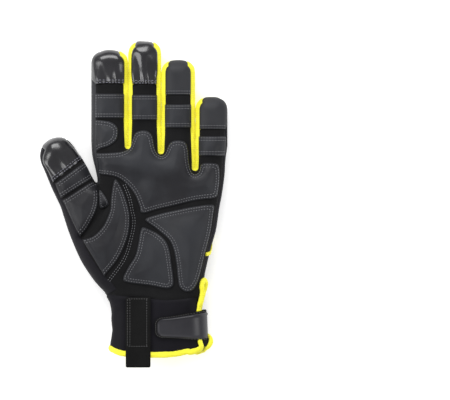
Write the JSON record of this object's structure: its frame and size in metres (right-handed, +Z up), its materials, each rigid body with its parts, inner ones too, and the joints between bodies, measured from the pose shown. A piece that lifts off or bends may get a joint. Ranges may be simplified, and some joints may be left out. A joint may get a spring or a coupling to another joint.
{
  "type": "left-hand needle-resistant work glove",
  "caption": "Padded left-hand work glove with bright finger sides, a knit back, a neoprene cuff, a wrist strap and a pull tab.",
  "frame": {"origin": "on the surface that the glove lies on, under the middle of its box", "axes": "+X to the little finger's side, +Y to the fingertips, +Z up, out of the palm; the back of the hand lies on z = 0"},
  "size_m": [0.15, 0.2594, 0.0295],
  "materials": {
    "black_suede": "matt brushed synthetic suede",
    "black_knit": "fine ribbed stretch knit",
    "neoprene": "smooth cloth-faced foam",
    "pad_leather": "padded synthetic leather with a fine grain",
    "grey_leather": "matt synthetic leather",
    "gloss_tip": "glossy wrinkled coated cloth",
    "yellow_cloth": "bright stretch cloth",
    "strap_rubber": "soft moulded rubber",
    "webbing": "narrow woven tape"
  },
  "bodies": {
    "root": {"palm_panel": "black_suede", "thumb_panel": "black_suede", "thumb_back_panel": "black_suede", "thumb_inner_strip": "black_suede", "back_finger_panel": "black_knit", "lower_back_panel": "black_knit", "thumb_side_strip": "black_knit", "little_side_strip": "black_knit", "knuckle_band": "neoprene", "cuff": "neoprene", "palm_pad": "pad_leather", "outer_heel_pad": "pad_leather", "centre_heel_pad": "pad_leather", "thenar_pad": "pad_leather", "index_base_pad": "pad_leather", "index_pad": "pad_leather", "middle_pad": "pad_leather", "ring_pad": "pad_leather", "little_pad": "pad_leather", "thumb_middle_pad": "pad_leather", "thumb_root_pad": "pad_leather", "index_side_strip": "grey_leather", "ring_tip": "grey_leather", "little_tip": "grey_leather", "index_back_tip": "grey_leather", "middle_back_tip": "grey_leather", "ring_back_tip": "grey_leather", "little_back_tip": "grey_leather", "thumb_back_tip": "grey_leather", "index_tip": "gloss_tip", "middle_tip": "gloss_tip", "thumb_tip": "gloss_tip", "index_middle_fourchette": "yellow_cloth", "middle_ring_fourchette": "yellow_cloth", "ring_little_fourchette": "yellow_cloth", "knuckle_piping": "yellow_cloth", "cuff_binding": "yellow_cloth", "wrist_strap": "strap_rubber", "pull_tab": "webbing"}
  },
  "joints": []
}
